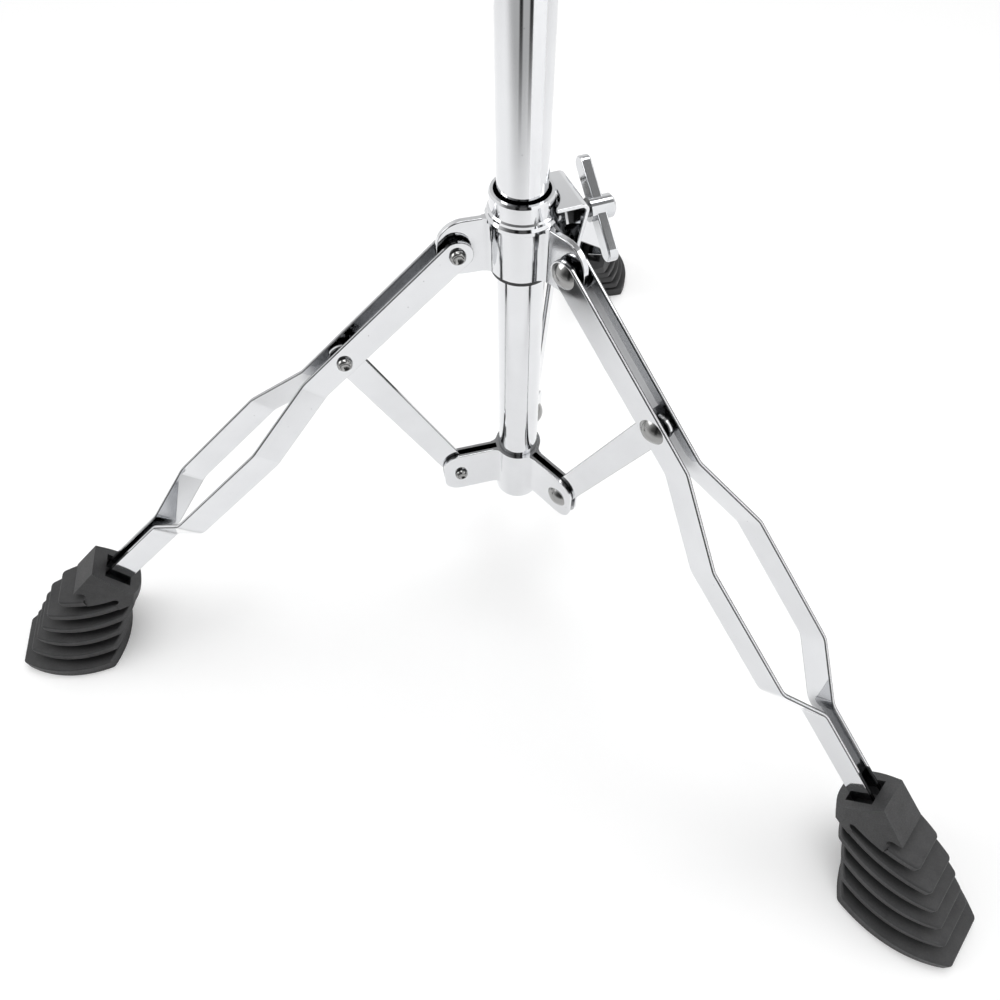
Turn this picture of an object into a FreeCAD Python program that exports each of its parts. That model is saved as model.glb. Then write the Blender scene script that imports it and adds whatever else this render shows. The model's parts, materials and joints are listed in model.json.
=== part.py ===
import FreeCAD
import Part
import math
import os

# Snare drum stand: a folding tripod of paired steel strips, a telescoping post, a tilter and a basket.
# Millimetres. The origin is on the tube's axis at floor level, +Z is up, and the legs stand at
# azimuths 210 (left), 330 (right) and 90 (rear).
Vector = FreeCAD.Vector
ORIGIN = Vector(0, 0, 0)
X_AXIS = Vector(1, 0, 0)
Y_AXIS = Vector(0, 1, 0)
Z_AXIS = Vector(0, 0, 1)

# Base tube and the four pivots that set the tripod's shape
TUBE_R = 11.1
TUBE_WALL = 1.2
HUB_Z = 267.0
HUB_R = 30.0
MIDDLE_Z = HUB_Z - 54.3
MIDDLE_R = 87.2
BRACKET_Z = HUB_Z - 169.9
BRACKET_R = 35.8
TUBE_BOTTOM = HUB_Z - 194.0
TUBE_TOP = HUB_Z + 154.0
LEGS = {"left": 210.0, "right": 330.0, "rear": 90.0}
HUB_CARRIER = "rear"

# Leg strips: distances along the leg from the hub pivot, and half gaps between the two strips
STRIP_W = 14.4
STRIP_T = 2.0
STRIP_BEND_R = 9.0
BOW_START = 102.0
BOW_WIDE = 144.5
BOW_NARROW = 212.5
BOW_END = 239.0
STRIP_END = 336.0
GAP_TOP = 3.4
GAP_BOW = 17.2
GAP_FOOT = 2.2
SPREADER_W = 14.0
SPREADER_T = 2.4
STRIP_EDGE_R = 0.45

# Rivets
RIVET_R = 2.5
RIVET_FIT = 0.05
RIVET_HEAD_R = 4.7
RIVET_HEAD_H = 2.3
RIVET_TAIL_R = 3.9
RIVET_TAIL_H = 1.7
RIVET_DIMPLE_R = 1.7

# Hub collar and its plastic bushing, which slides on the tube with room for the fold's sideways drift
BUSHING_IN_R = 12.5
BUSHING_RIM_R = 14.0
BUSHING_RIM_H = 2.2
COLLAR_IN_R = 13.3
COLLAR_OUT_R = 14.4
COLLAR_BOTTOM = HUB_Z - 14.0
COLLAR_TOP = HUB_Z + 12.8
LUG_TOP = HUB_Z + 15.2
LUG_T = 3.0
LUG_REACH = 8.5
LUG_CORNER_R = 12.5
LUG_FOLD_R = 4.5
OPEN_HOLE_R = 4.7
RING_FLANGE_R = COLLAR_OUT_R + 1.7
RING_FLANGE_H = 3.0
RING_BEAD_R = COLLAR_OUT_R + 0.8
RING_BEAD_TOP = 5.0
RING_SLOPE = 0.7
RING_LIP = 0.6
RING_MOUTH_H = 3.0
RING_TOP = HUB_Z + 27.0

# Sheet bracket and wing screw that lock the hub to the tube
LOCK_AZIMUTH = 36.0
LOCK_Z = HUB_Z + 7.5
LOCK_TOP = HUB_Z + 22.0
LOCK_REACH = 26.0
LOCK_FOOT_R = 21.0
LOCK_FOOT_Z = HUB_Z - 3.0
LOCK_HALF_W = 13.5
LOCK_SHEET = 1.8
LOCK_NUT_ACROSS = 11.0
LOCK_NUT_START = 18.5
SCREW_HOLE_ROOM = 0.5
SCREW_CHAMFER = 0.8
SCREW_R = 3.0
SCREW_TIP = 12.9
SCREW_BARREL_START = 31.5
SCREW_BARREL_END = 43.5
SCREW_BARREL_R = 5.6
BARREL_CHAMFER = 1.2
WING_SPAN = 50.0
WING_W = 8.5
WING_T = 5.0
WING_EDGE_R = 0.9
WING_TURN = 53.0
SCREW_WING_INSET = 2.0

# Lower bracket, fixed to the tube's bottom end
BRACKET_BOTTOM = TUBE_BOTTOM
BRACKET_TOP = BRACKET_BOTTOM + 41.0
BRACKET_BARREL_R = 13.2
BRACKET_LUG_BOTTOM = BRACKET_BOTTOM + 8.5
BRACKET_LUG_TOP = BRACKET_TOP
BRACKET_LUG_REACH = 10.0
BRACKET_LUG_CORNER_R = 9.5
BRACKET_PLATE_T = 1.8
BRACKET_GAP = 3.4
PLUG_RIM = 2.5
PLUG_DEPTH = 14.0
PLUG_WALL = 2.0

# Rubber foot: plan sections at four levels, then its grooves and the tilted mouth round the strips
FOOT_LEVELS = (0.0, 20.0, 44.0, 84.0)
FOOT_TOE = (317.0, 303.5, 287.5, 248.0)
FOOT_TOE_HALF = (13.8, 11.4, 10.4, 9.0)
FOOT_HEEL = (265.5, 256.5, 240.5, 226.0)
FOOT_HEEL_HALF = (27.2, 19.5, 12.2, 8.0)
FOOT_WIDE_HALF = (28.0, 21.5, 14.8, 8.8)
FOOT_WIDE_SHARE = 0.27
FOOT_HEEL_ROUND = 0.3
FOOT_GROOVE_Z = 7.8
FOOT_GROOVE_PITCH = 10.7
FOOT_GROOVE_H = 4.8
FOOT_GROOVE_DEPTH = 4.4
FOOT_GROOVE_STARTS = (0.0, 0.0, 0.0, 0.0, 248.0, 262.0)
FOOT_CORNER_R = 2.5
FOOT_LIP_R = 1.0
FOOT_MOUTH_ALONG = 292.0
FOOT_MOUTH_TILT = 19.0
FOOT_POCKET_SIDE = 2.8
FOOT_POCKET_END = 1.5
FOOT_POCKET_DEPTH = 4.5

# Clamp at the top of the base tube and the sliding post
CLAMP_BOTTOM = TUBE_TOP - 26.0
CLAMP_TOP = TUBE_TOP + 8.0
CLAMP_R = 16.5
CLAMP_CHAMFER = 1.2
CLAMP_EAR_REACH = 35.0
CLAMP_EAR_T = 7.0
CLAMP_EAR_INSET = 5.0
CLAMP_EAR_CORNER_R = 8.0
CLAMP_BOLT_X = CLAMP_EAR_REACH - 9.0
CLAMP_BOLT_TAIL = 7.0
CLAMP_NUT_T = 5.0
CLAMP_NUT_ACROSS = 10.0
CLAMP_SLIT = 3.0
CLAMP_BARREL = 17.0
CLAMP_WING_INSET = 1.6
CLAMP_AZIMUTH = 150.0
POST_R = 7.95
POST_WALL = 1.2
POST_BOTTOM = TUBE_TOP - 177.0
POST_TOP = TUBE_TOP + 42.0
POST_FIT = 0.1
BUSH_BOTTOM = TUBE_TOP - 40.0
BUSH_TOP = CLAMP_TOP - 1.0
GUIDE_LENGTH = 16.0

# Tilter, basket and the hand nut below it
TILTER_Z = POST_TOP + 22.0
TILTER_DISC_R = 14.0
TILTER_DISC_T = 7.0
TILTER_GAP = 0.15
TILTER_SOCKET_BOTTOM = POST_TOP - 12.0
TILTER_SOCKET_WALL = 3.5
TILTER_NECK_HALF = 8.0
TILTER_NECK_ROOT = 4.0
TILTER_CLEAR = 1.5
HEAD_SOCKET_WALL = 4.0
HEAD_NECK_HALF = 7.0
BOLT_HEAD_R = 6.5
BOLT_HEAD_H = 4.0
BOLT_TAIL = 15.0
WING_NUT_LENGTH = 13.0
WING_NUT_RIM = 1.5
WING_NUT_RIM_H = 2.0
WING_NUT_BLADE = 5.0
STEM_R = 5.0
STEM_BOTTOM = TILTER_Z + 18.0
STEM_TOP = STEM_BOTTOM + 62.0
NUT_BOTTOM = STEM_BOTTOM + 11.0
NUT_TOP = NUT_BOTTOM + 12.0
NUT_R = 17.0
NUT_FLUTES = 12
NUT_FLUTE_R = 2.6
NUT_FLUTE_PLACE = NUT_R + 0.9
BASKET_BOTTOM = NUT_TOP + 5.0
BASKET_TOP = BASKET_BOTTOM + 22.0
BASKET_R = 21.0
BASKET_FOOT_R = 14.0
BASKET_CONE_H = 5.0
BASKET_CHAMFER = 2.0
BASKET_FLOOR = 4.0
ARM_AZIMUTHS = {"front": 270.0, "right": 30.0, "left": 150.0}
ARM_PIVOT_R = 15.0
ARM_PIVOT_Z = BASKET_BOTTOM + 12.0
ARM_EYE_R = 6.5
ARM_EYE_T = 7.0
ARM_EYE_ROOM = 0.8
ARM_SIDE_ROOM = 0.35
ARM_PIN_R = 2.0
ARM_PIN_HALF = 10.0
ARM_TONGUE = 17.0
ARM_TONGUE_HALF = 4.5
ARM_ROD_START = 14.0
ARM_ROD_R = 4.0
ARM_RISE = 7.0
ARM_REACH = 158.0
ARM_BEND_R = 15.0
ARM_TIP_RISE = 62.0
GRIP_R = 7.5
GRIP_LENGTH = 30.0
GRIP_RIBS = 4
GRIP_RIB_PITCH = 5.0
GRIP_RIB_DEPTH = 1.2
GRIP_RIM = 2.0
GRIP_CAP = 3.0

LEG_TILT = math.degrees(math.atan2(MIDDLE_R - HUB_R, HUB_Z - MIDDLE_Z))
MIDDLE_ALONG = math.hypot(MIDDLE_R - HUB_R, HUB_Z - MIDDLE_Z)


def unit(vector):
    """A copy of a vector with length 1."""
    return Vector(vector).normalize()


def turned(shape, azimuth):
    """A copy of a shape made in the plane of azimuth 0, turned about the tube's axis."""
    copy = shape.copy()
    copy.rotate(ORIGIN, Z_AXIS, azimuth)
    return copy


def joined(shapes):
    """One solid from overlapping pieces, with leftover seams removed."""
    return shapes[0].fuse(shapes[1:]).removeSplitter()


def box(x0, x1, y0, y1, z0, z1):
    """A block between two corners."""
    return Part.makeBox(x1 - x0, y1 - y0, z1 - z0, Vector(x0, y0, z0))


def bar(radius, start, end):
    """A round bar between two points."""
    return Part.makeCylinder(radius, (end - start).Length, start, end - start)


def cross_bar(radius, x, z, y0, y1):
    """A round bar across a radial plane, as for a pivot."""
    return bar(radius, Vector(x, y0, z), Vector(x, y1, z))


def upright(radius, z0, z1):
    """A round bar on the tube's axis."""
    return bar(radius, Vector(0, 0, z0), Vector(0, 0, z1))


def sleeve(outer, inner, z0, z1):
    """A ring on the tube's axis."""
    return upright(outer, z0, z1).cut(upright(inner, z0 - 1, z1 + 1))


def revolved(profile, base, axis, across):
    """A solid of revolution from (distance along the axis, radius) pairs."""
    points = [base + axis * along + across * radius for along, radius in profile]
    return Part.Face(Part.makePolygon(points + points[:1])).revolve(base, axis, 360)


def prism(points, direction):
    """A closed outline of straight lines, extruded."""
    return Part.Face(Part.makePolygon(points + points[:1])).extrude(direction)


def bent_side(points, radius, up, offset):
    """Lines and arcs that run beside a bent path, `offset` to its left, with both end points."""
    start = points[0] + up.cross(unit(points[1] - points[0])) * offset
    finish = points[-1] + up.cross(unit(points[-1] - points[-2])) * offset
    edges = []
    last = start
    for before, corner, after in zip(points, points[1:], points[2:]):
        into = unit(corner - before)
        out = unit(after - corner)
        left = 1 if up.dot(into.cross(out)) > 0 else -1
        bend = radius - left * offset
        before_bend = radius * math.tan(into.getAngle(out) / 2)
        centre = corner - into * before_bend + up.cross(into) * (left * radius)
        first = centre - up.cross(into) * (left * bend)
        middle = centre - unit(up.cross(into) + up.cross(out)) * (left * bend)
        second = centre - up.cross(out) * (left * bend)
        edges.append(Part.LineSegment(last, first).toShape())
        edges.append(Part.Arc(first, middle, second).toShape())
        last = second
    edges.append(Part.LineSegment(last, finish).toShape())
    return edges, start, finish


def bent_strip(points, radius, thickness, width):
    """Flat stock bent through mid-thickness points, with its long edges rounded; `width` is its breadth."""
    up = unit(width)
    left, left_start, left_finish = bent_side(points, radius, up, thickness / 2)
    right, right_start, right_finish = bent_side(points, radius, up, -thickness / 2)
    caps = [
        Part.LineSegment(left_start, right_start).toShape(),
        Part.LineSegment(left_finish, right_finish).toShape(),
    ]
    wire = Part.Wire(Part.__sortEdges__(left + right + caps))
    strip = Part.Face(wire).extrude(width)
    long_edges = []
    for edge in strip.Edges:
        ends = edge.Vertexes[-1].Point - edge.Vertexes[0].Point
        if abs(ends.dot(up)) < thickness / 2 and edge.Length > 1.01 * thickness:
            long_edges.append(edge)
    return strip.makeFillet(STRIP_EDGE_R, long_edges)


def rounded_plate(x0, x1, z0, z1, corner, y0, y1):
    """A plate in a radial plane with two rounded outer corners and softened edges."""
    slant = corner * math.sqrt(0.5)
    low = Vector(x1 - corner, y0, z0 + corner)
    high = Vector(x1 - corner, y0, z1 - corner)
    edges = [
        Part.LineSegment(Vector(x0, y0, z0), Vector(low.x, y0, z0)),
        Part.Arc(Vector(low.x, y0, z0), low + Vector(slant, 0, -slant), Vector(x1, y0, low.z)),
        Part.LineSegment(Vector(x1, y0, low.z), Vector(x1, y0, high.z)),
        Part.Arc(Vector(x1, y0, high.z), high + Vector(slant, 0, slant), Vector(high.x, y0, z1)),
        Part.LineSegment(Vector(high.x, y0, z1), Vector(x0, y0, z1)),
        Part.LineSegment(Vector(x0, y0, z1), Vector(x0, y0, z0)),
    ]
    plate = Part.Face(Part.Wire([edge.toShape() for edge in edges])).extrude(Vector(0, y1 - y0, 0))
    rim = [edge for edge in plate.Edges if edge.BoundBox.YLength < 0.01 and edge.BoundBox.XMax > x0 + 0.01]
    return plate.makeFillet(STRIP_EDGE_R, rim)


def fold_root(barrel, half, fold, z0, z1):
    """The concave folds by which a lug of half thickness `half` leaves a round barrel."""
    side = half + fold
    reach = math.sqrt((barrel + fold) ** 2 - side**2)
    touch = Vector(reach, side, 0) * (barrel / (barrel + fold))
    inner = barrel - 2 * LUG_T
    points = [
        Vector(inner, -touch.y, z0),
        Vector(touch.x, -touch.y, z0),
        Vector(reach, -side, z0),
        Vector(reach, side, z0),
        Vector(touch.x, touch.y, z0),
        Vector(inner, touch.y, z0),
    ]
    root = prism(points, Vector(0, 0, z1 - z0))
    for y in (-side, side):
        root = root.cut(bar(fold, Vector(reach, y, z0 - 1), Vector(reach, y, z1 + 1)))
    return root


def rivet(x, z, grip):
    """A semi-tubular rivet across a radial plane: domed head at -Y, rolled tail with its hole at +Y."""
    base = Vector(x, 0, z)
    dome = Vector(0.7 * RIVET_HEAD_R, -grip - 0.72 * RIVET_HEAD_H, 0)
    profile = [
        (-grip, RIVET_HEAD_R),
        (-grip, RIVET_R),
        (grip, RIVET_R),
        (grip, RIVET_TAIL_R),
        (grip + 0.6 * RIVET_TAIL_H, RIVET_TAIL_R),
        (grip + RIVET_TAIL_H, 0.8 * RIVET_TAIL_R),
        (grip + RIVET_TAIL_H, 0.6 * RIVET_TAIL_R),
        (grip + 0.3 * RIVET_TAIL_H, RIVET_DIMPLE_R),
        (grip + 0.3 * RIVET_TAIL_H, 0),
        (-grip - RIVET_HEAD_H, 0),
    ]
    points = [base + Vector(radius, along, 0) for along, radius in profile]
    edges = [Part.makePolygon(points)]
    edges.append(Part.Arc(points[-1], base + dome, points[0]).toShape())
    return Part.Face(Part.Wire(edges)).revolve(base, Y_AXIS, 360)


def along_leg(shape):
    """Moves a shape made with X along the leg, from the hub pivot, into the leg's radial plane."""
    placed = shape.copy()
    placed.rotate(ORIGIN, Y_AXIS, 90 - LEG_TILT)
    placed.translate(Vector(HUB_R, 0, HUB_Z))
    return placed


def leg_strip(side):
    """One of a leg's two strips: straight past both pivots, bowed out, then closed in to the foot."""
    stations = [
        (-STRIP_W, GAP_TOP),
        (BOW_START, GAP_TOP),
        (BOW_WIDE, GAP_BOW),
        (BOW_NARROW, GAP_BOW),
        (BOW_END, GAP_FOOT),
        (STRIP_END, GAP_FOOT),
    ]
    low = -STRIP_W / 2
    path = [Vector(s, side * (gap + STRIP_T / 2), low) for s, gap in stations]
    strip = bent_strip(path, STRIP_BEND_R, STRIP_T, Vector(0, 0, STRIP_W))
    far = 2 * GAP_BOW
    outline = box(0, STRIP_END, -far, far, low, -low).fuse(cross_bar(-low, 0, 0, -far, far))
    strip = strip.common(outline)
    for s in (0, MIDDLE_ALONG):
        strip = strip.cut(cross_bar(RIVET_R + RIVET_FIT, s, 0, -far, far))
    return along_leg(strip)


def leg_rivets():
    """The hub pivot's and the spreader pivot's rivets."""
    grip = GAP_TOP + STRIP_T
    return Part.makeCompound([rivet(HUB_R, HUB_Z, grip), rivet(MIDDLE_R, MIDDLE_Z, grip)])


def spreader():
    """A flat strip with round ends from the lower bracket up to the leg."""
    length = math.hypot(MIDDLE_R - BRACKET_R, MIDDLE_Z - BRACKET_Z)
    tilt = math.degrees(math.atan2(MIDDLE_R - BRACKET_R, MIDDLE_Z - BRACKET_Z))
    half_w = SPREADER_W / 2
    half_t = SPREADER_T / 2
    strip = box(-half_w, half_w, -half_t, half_t, 0, length)
    ends = [cross_bar(half_w, 0, z, -half_t, half_t) for z in (0, length)]
    strip = joined([strip] + ends)
    rim = [edge for edge in strip.Edges if edge.BoundBox.YLength < 0.01]
    strip = strip.makeFillet(STRIP_EDGE_R, rim)
    for z in (0, length):
        strip = strip.cut(cross_bar(RIVET_R + RIVET_FIT, 0, z, -half_t - 1, half_t + 1))
    strip.rotate(ORIGIN, Y_AXIS, tilt)
    strip.translate(Vector(BRACKET_R, 0, BRACKET_Z))
    return strip


def foot_size(values, z):
    """One of the foot's dimensions at any height, taken between its levels."""
    i = max(j for j in range(len(FOOT_LEVELS) - 1) if FOOT_LEVELS[j] <= z)
    share = (z - FOOT_LEVELS[i]) / (FOOT_LEVELS[i + 1] - FOOT_LEVELS[i])
    return values[i] + share * (values[i + 1] - values[i])


def foot_outline(z, inset):
    """The foot's plan at a height: blunt toe outward, bulging sides, round heel inward."""
    toe = foot_size(FOOT_TOE, z) - inset
    heel = foot_size(FOOT_HEEL, z) + inset
    toe_half = foot_size(FOOT_TOE_HALF, z) - 0.7 * inset
    heel_half = foot_size(FOOT_HEEL_HALF, z) - 0.9 * inset
    wide_half = foot_size(FOOT_WIDE_HALF, z) - inset
    wide = heel + FOOT_WIDE_SHARE * (toe - heel)
    back = heel - FOOT_HEEL_ROUND * heel_half
    edges = [
        Part.LineSegment(Vector(toe, -toe_half, z), Vector(toe, toe_half, z)),
        Part.Arc(Vector(toe, toe_half, z), Vector(wide, wide_half, z), Vector(heel, heel_half, z)),
        Part.Arc(Vector(heel, heel_half, z), Vector(back, 0, z), Vector(heel, -heel_half, z)),
        Part.Arc(Vector(heel, -heel_half, z), Vector(wide, -wide_half, z), Vector(toe, -toe_half, z)),
    ]
    return Part.Wire([edge.toShape() for edge in edges])


def foot_rib(low, high):
    """A flat rib with upright sides, rounded corners and soft lips; the sole's lower edge stays sharp."""
    plate = Part.Face(foot_outline(low, 0)).extrude(Vector(0, 0, high - low))
    plate = plate.makeFillet(FOOT_CORNER_R, [edge for edge in plate.Edges if edge.BoundBox.ZLength > 1])
    level = [edge for edge in plate.Edges if edge.BoundBox.ZLength < 0.01]
    return plate.makeFillet(FOOT_LIP_R, [edge for edge in level if edge.BoundBox.ZMin > 0.01])


def foot(strips):
    """A rubber boot moulded round the ends of a leg's two strips: smooth head, deep grooves, stepped ribs."""
    body = Part.makeLoft([foot_outline(z, 0) for z in FOOT_LEVELS], True, True)
    core = Part.makeLoft([foot_outline(z, FOOT_GROOVE_DEPTH) for z in FOOT_LEVELS], True, True)
    far = 2 * FOOT_TOE[0]
    half_h = FOOT_GROOVE_H / 2
    low = 0
    ribs = []
    for i, start in enumerate(FOOT_GROOVE_STARTS):
        high = FOOT_GROOVE_Z + i * FOOT_GROOVE_PITCH
        room = box(start, far, -far, far, low, high + FOOT_GROOVE_H)
        room = room.fuse(cross_bar(half_h, start, high + half_h, -far, far))
        body = body.cut(room.cut(core))
        ribs.append(foot_rib(low, high).common(box(start, far, -far, far, low, high)))
        low = high + FOOT_GROOVE_H
    body = joined([body] + ribs)
    half_n = STRIP_W / 2 + FOOT_POCKET_END
    half_y = GAP_FOOT + STRIP_T + FOOT_POCKET_SIDE
    above = box(-far, 0, -far, far, -far, far)
    above.rotate(ORIGIN, Y_AXIS, -FOOT_MOUTH_TILT)
    above.translate(X_AXIS * FOOT_MOUTH_ALONG)
    below = above.copy()
    below.translate(X_AXIS * FOOT_POCKET_DEPTH)
    pocket = box(0, far, -half_y, half_y, -half_n, half_n).common(below)
    return body.cut([along_leg(above), along_leg(pocket)] + strips)


def hub_collar():
    """Sheet collar with three folded lugs; one lug's hole fits its rivet, the others leave room to fold."""
    pieces = [upright(COLLAR_OUT_R, COLLAR_BOTTOM, COLLAR_TOP)]
    holes = [upright(COLLAR_IN_R, COLLAR_BOTTOM - 1, LUG_TOP + 1)]
    holes.append(upright(RING_FLANGE_R, COLLAR_TOP, LUG_TOP + 1))
    half = LUG_T / 2
    for name, azimuth in LEGS.items():
        tip = HUB_R + LUG_REACH
        lug = rounded_plate(COLLAR_IN_R, tip, COLLAR_BOTTOM, LUG_TOP, LUG_CORNER_R, -half, half)
        root = fold_root(COLLAR_OUT_R, half, LUG_FOLD_R, COLLAR_BOTTOM, LUG_TOP)
        pieces.append(turned(lug, azimuth))
        pieces.append(turned(root, azimuth))
        hole_r = RIVET_R + RIVET_FIT if name == HUB_CARRIER else OPEN_HOLE_R
        holes.append(turned(cross_bar(hole_r, HUB_R, HUB_Z, -LUG_T, LUG_T), azimuth))
    screw = bar(SCREW_R + SCREW_HOLE_ROOM, Vector(0, 0, LOCK_Z), Vector(LOCK_REACH, 0, LOCK_Z))
    holes.append(turned(screw, LOCK_AZIMUTH))
    return joined(pieces).cut(holes)


def hub_bushing():
    """Plastic liner of the collar and ring, with a rim below the collar and a hole for the screw."""
    spigot = sleeve(COLLAR_IN_R, BUSHING_IN_R, COLLAR_BOTTOM, RING_TOP - RING_MOUTH_H)
    rim = sleeve(BUSHING_RIM_R, BUSHING_IN_R, COLLAR_BOTTOM - BUSHING_RIM_H, COLLAR_BOTTOM)
    screw = bar(SCREW_R + SCREW_HOLE_ROOM, Vector(0, 0, LOCK_Z), Vector(LOCK_REACH, 0, LOCK_Z))
    return joined([spigot, rim]).cut(turned(screw, LOCK_AZIMUTH))


def hub_ring():
    """Turned ring on top of the collar: flange, bead and a plain lip that closes over the bushing."""
    height = RING_TOP - COLLAR_TOP
    profile = [
        (0, COLLAR_IN_R),
        (0, RING_FLANGE_R - RING_LIP),
        (RING_LIP, RING_FLANGE_R),
        (RING_FLANGE_H - RING_LIP, RING_FLANGE_R),
        (RING_FLANGE_H + RING_SLOPE, RING_BEAD_R),
        (RING_BEAD_TOP, RING_BEAD_R),
        (RING_BEAD_TOP + RING_SLOPE, COLLAR_OUT_R),
        (height - 2 * RING_LIP, COLLAR_OUT_R),
        (height, COLLAR_OUT_R - RING_LIP),
        (height, BUSHING_IN_R),
        (height - RING_MOUTH_H, BUSHING_IN_R),
        (height - RING_MOUTH_H, COLLAR_IN_R),
    ]
    return revolved(profile, Vector(0, 0, COLLAR_TOP), Z_AXIS, X_AXIS)


def lock_sheet(collar):
    """Folded sheet beside the collar: level top, sloping outer wall, short return to the collar."""
    top = LOCK_TOP - LOCK_SHEET / 2
    path = [
        Vector(0.8 * COLLAR_IN_R, -LOCK_HALF_W, top),
        Vector(LOCK_REACH - LOCK_SHEET / 2, -LOCK_HALF_W, top),
        Vector(LOCK_FOOT_R, -LOCK_HALF_W, LOCK_FOOT_Z),
        Vector(0.8 * COLLAR_IN_R, -LOCK_HALF_W, LOCK_FOOT_Z - 2),
    ]
    sheet = bent_strip(path, 1.5 * LOCK_SHEET, LOCK_SHEET, Vector(0, 2 * LOCK_HALF_W, 0))
    bore = upright(COLLAR_OUT_R, COLLAR_BOTTOM, COLLAR_TOP)
    ring = upright(RING_FLANGE_R, COLLAR_TOP, LOCK_TOP + 1)
    screw = bar(SCREW_R + SCREW_HOLE_ROOM, Vector(0, 0, LOCK_Z), Vector(2 * LOCK_REACH, 0, LOCK_Z))
    return sheet.cut([bore, ring, screw, turned(collar, -LOCK_AZIMUTH)])


def hexagon(across, start, end):
    """A hexagonal bar between two points of a radial plane."""
    axis = unit(end - start)
    side = axis.cross(Z_AXIS) if abs(axis.z) < 0.5 else X_AXIS
    other = axis.cross(side)
    corner_r = across / math.sqrt(3)
    turns = [math.radians(60 * i) for i in range(6)]
    points = [start + (side * math.cos(a) + other * math.sin(a)) * corner_r for a in turns]
    return prism(points, end - start)


def lock_nut(sheet):
    """Welded nut behind the sheet's outer wall, cut to the wall's slope."""
    nut = hexagon(LOCK_NUT_ACROSS, Vector(LOCK_NUT_START, 0, LOCK_Z), Vector(LOCK_REACH, 0, LOCK_Z))
    nut = nut.cut(bar(SCREW_R + RIVET_FIT, Vector(0, 0, LOCK_Z), Vector(2 * LOCK_REACH, 0, LOCK_Z)))
    return min(nut.cut(sheet).Solids, key=lambda solid: solid.CenterOfMass.x)


def wings(base, axis, direction, start):
    """Two flat round-ended wings in one blade across a barrel, `start` along its axis."""
    across = axis.cross(direction)
    half = WING_SPAN / 2 - WING_W / 2
    origin = base + axis * start - across * (WING_W / 2)
    corners = [
        origin - direction * half,
        origin - direction * half + across * WING_W,
        origin + direction * half + across * WING_W,
        origin + direction * half,
    ]
    blade = prism(corners, axis * WING_T)
    tips = [
        bar(WING_W / 2, base + axis * start + direction * d, base + axis * (start + WING_T) + direction * d)
        for d in (-half, half)
    ]
    blade = joined([blade] + tips)
    return blade.makeFillet(WING_EDGE_R, blade.Edges)


def wing_screw():
    """Thumb screw that locks the hub: threaded shank, round barrel and two wings."""
    base = Vector(0, 0, LOCK_Z)
    turn = math.radians(WING_TURN)
    profile = [
        (SCREW_TIP, 0),
        (SCREW_TIP, SCREW_R - SCREW_CHAMFER),
        (SCREW_TIP + SCREW_CHAMFER, SCREW_R),
        (SCREW_BARREL_START, SCREW_R),
        (SCREW_BARREL_START, SCREW_BARREL_R),
        (SCREW_BARREL_END - BARREL_CHAMFER, SCREW_BARREL_R),
        (SCREW_BARREL_END, SCREW_BARREL_R - BARREL_CHAMFER),
        (SCREW_BARREL_END, 0),
    ]
    direction = Vector(0, math.sin(turn), math.cos(turn))
    blade = wings(base, X_AXIS, direction, SCREW_BARREL_START + SCREW_WING_INSET)
    return joined([revolved(profile, base, X_AXIS, Y_AXIS), blade])


def lower_bracket():
    """Sheet collar fixed on the tube's bottom end, with a pair of plates for each spreader."""
    half = BRACKET_GAP / 2 + BRACKET_PLATE_T
    tip = BRACKET_R + BRACKET_LUG_REACH
    pieces = [upright(BRACKET_BARREL_R, BRACKET_BOTTOM, BRACKET_TOP)]
    holes = [upright(TUBE_R, BRACKET_BOTTOM - 1, BRACKET_TOP + 1)]
    for azimuth in LEGS.values():
        low, high = BRACKET_LUG_BOTTOM, BRACKET_LUG_TOP
        lug = rounded_plate(TUBE_R, tip, low, high, BRACKET_LUG_CORNER_R, -half, half)
        root = fold_root(BRACKET_BARREL_R, half, LUG_FOLD_R, low, high)
        slot = box(BRACKET_BARREL_R, tip + 1, -BRACKET_GAP / 2, BRACKET_GAP / 2, low - 1, high + 1)
        hole = cross_bar(RIVET_R + RIVET_FIT, BRACKET_R, BRACKET_Z, -2 * half, 2 * half)
        pieces += [turned(lug, azimuth), turned(root, azimuth)]
        holes += [turned(slot, azimuth), turned(hole, azimuth)]
    return joined(pieces).cut(holes)


def bracket_rivets():
    """One rivet for each spreader's lower pivot."""
    grip = BRACKET_GAP / 2 + BRACKET_PLATE_T
    one = rivet(BRACKET_R, BRACKET_Z, grip)
    return Part.makeCompound([turned(one, azimuth) for azimuth in LEGS.values()])


def tube_plug():
    """Push-in plug that closes the tube's bottom end."""
    inner = TUBE_R - TUBE_WALL
    profile = [
        (-PLUG_RIM, 0),
        (-PLUG_RIM, inner),
        (0, TUBE_R),
        (0, inner),
        (PLUG_DEPTH, inner),
        (PLUG_DEPTH, inner - PLUG_WALL),
        (PLUG_WALL, inner - PLUG_WALL),
        (PLUG_WALL, 0),
    ]
    return revolved(profile, Vector(0, 0, TUBE_BOTTOM), Z_AXIS, X_AXIS)


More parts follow.
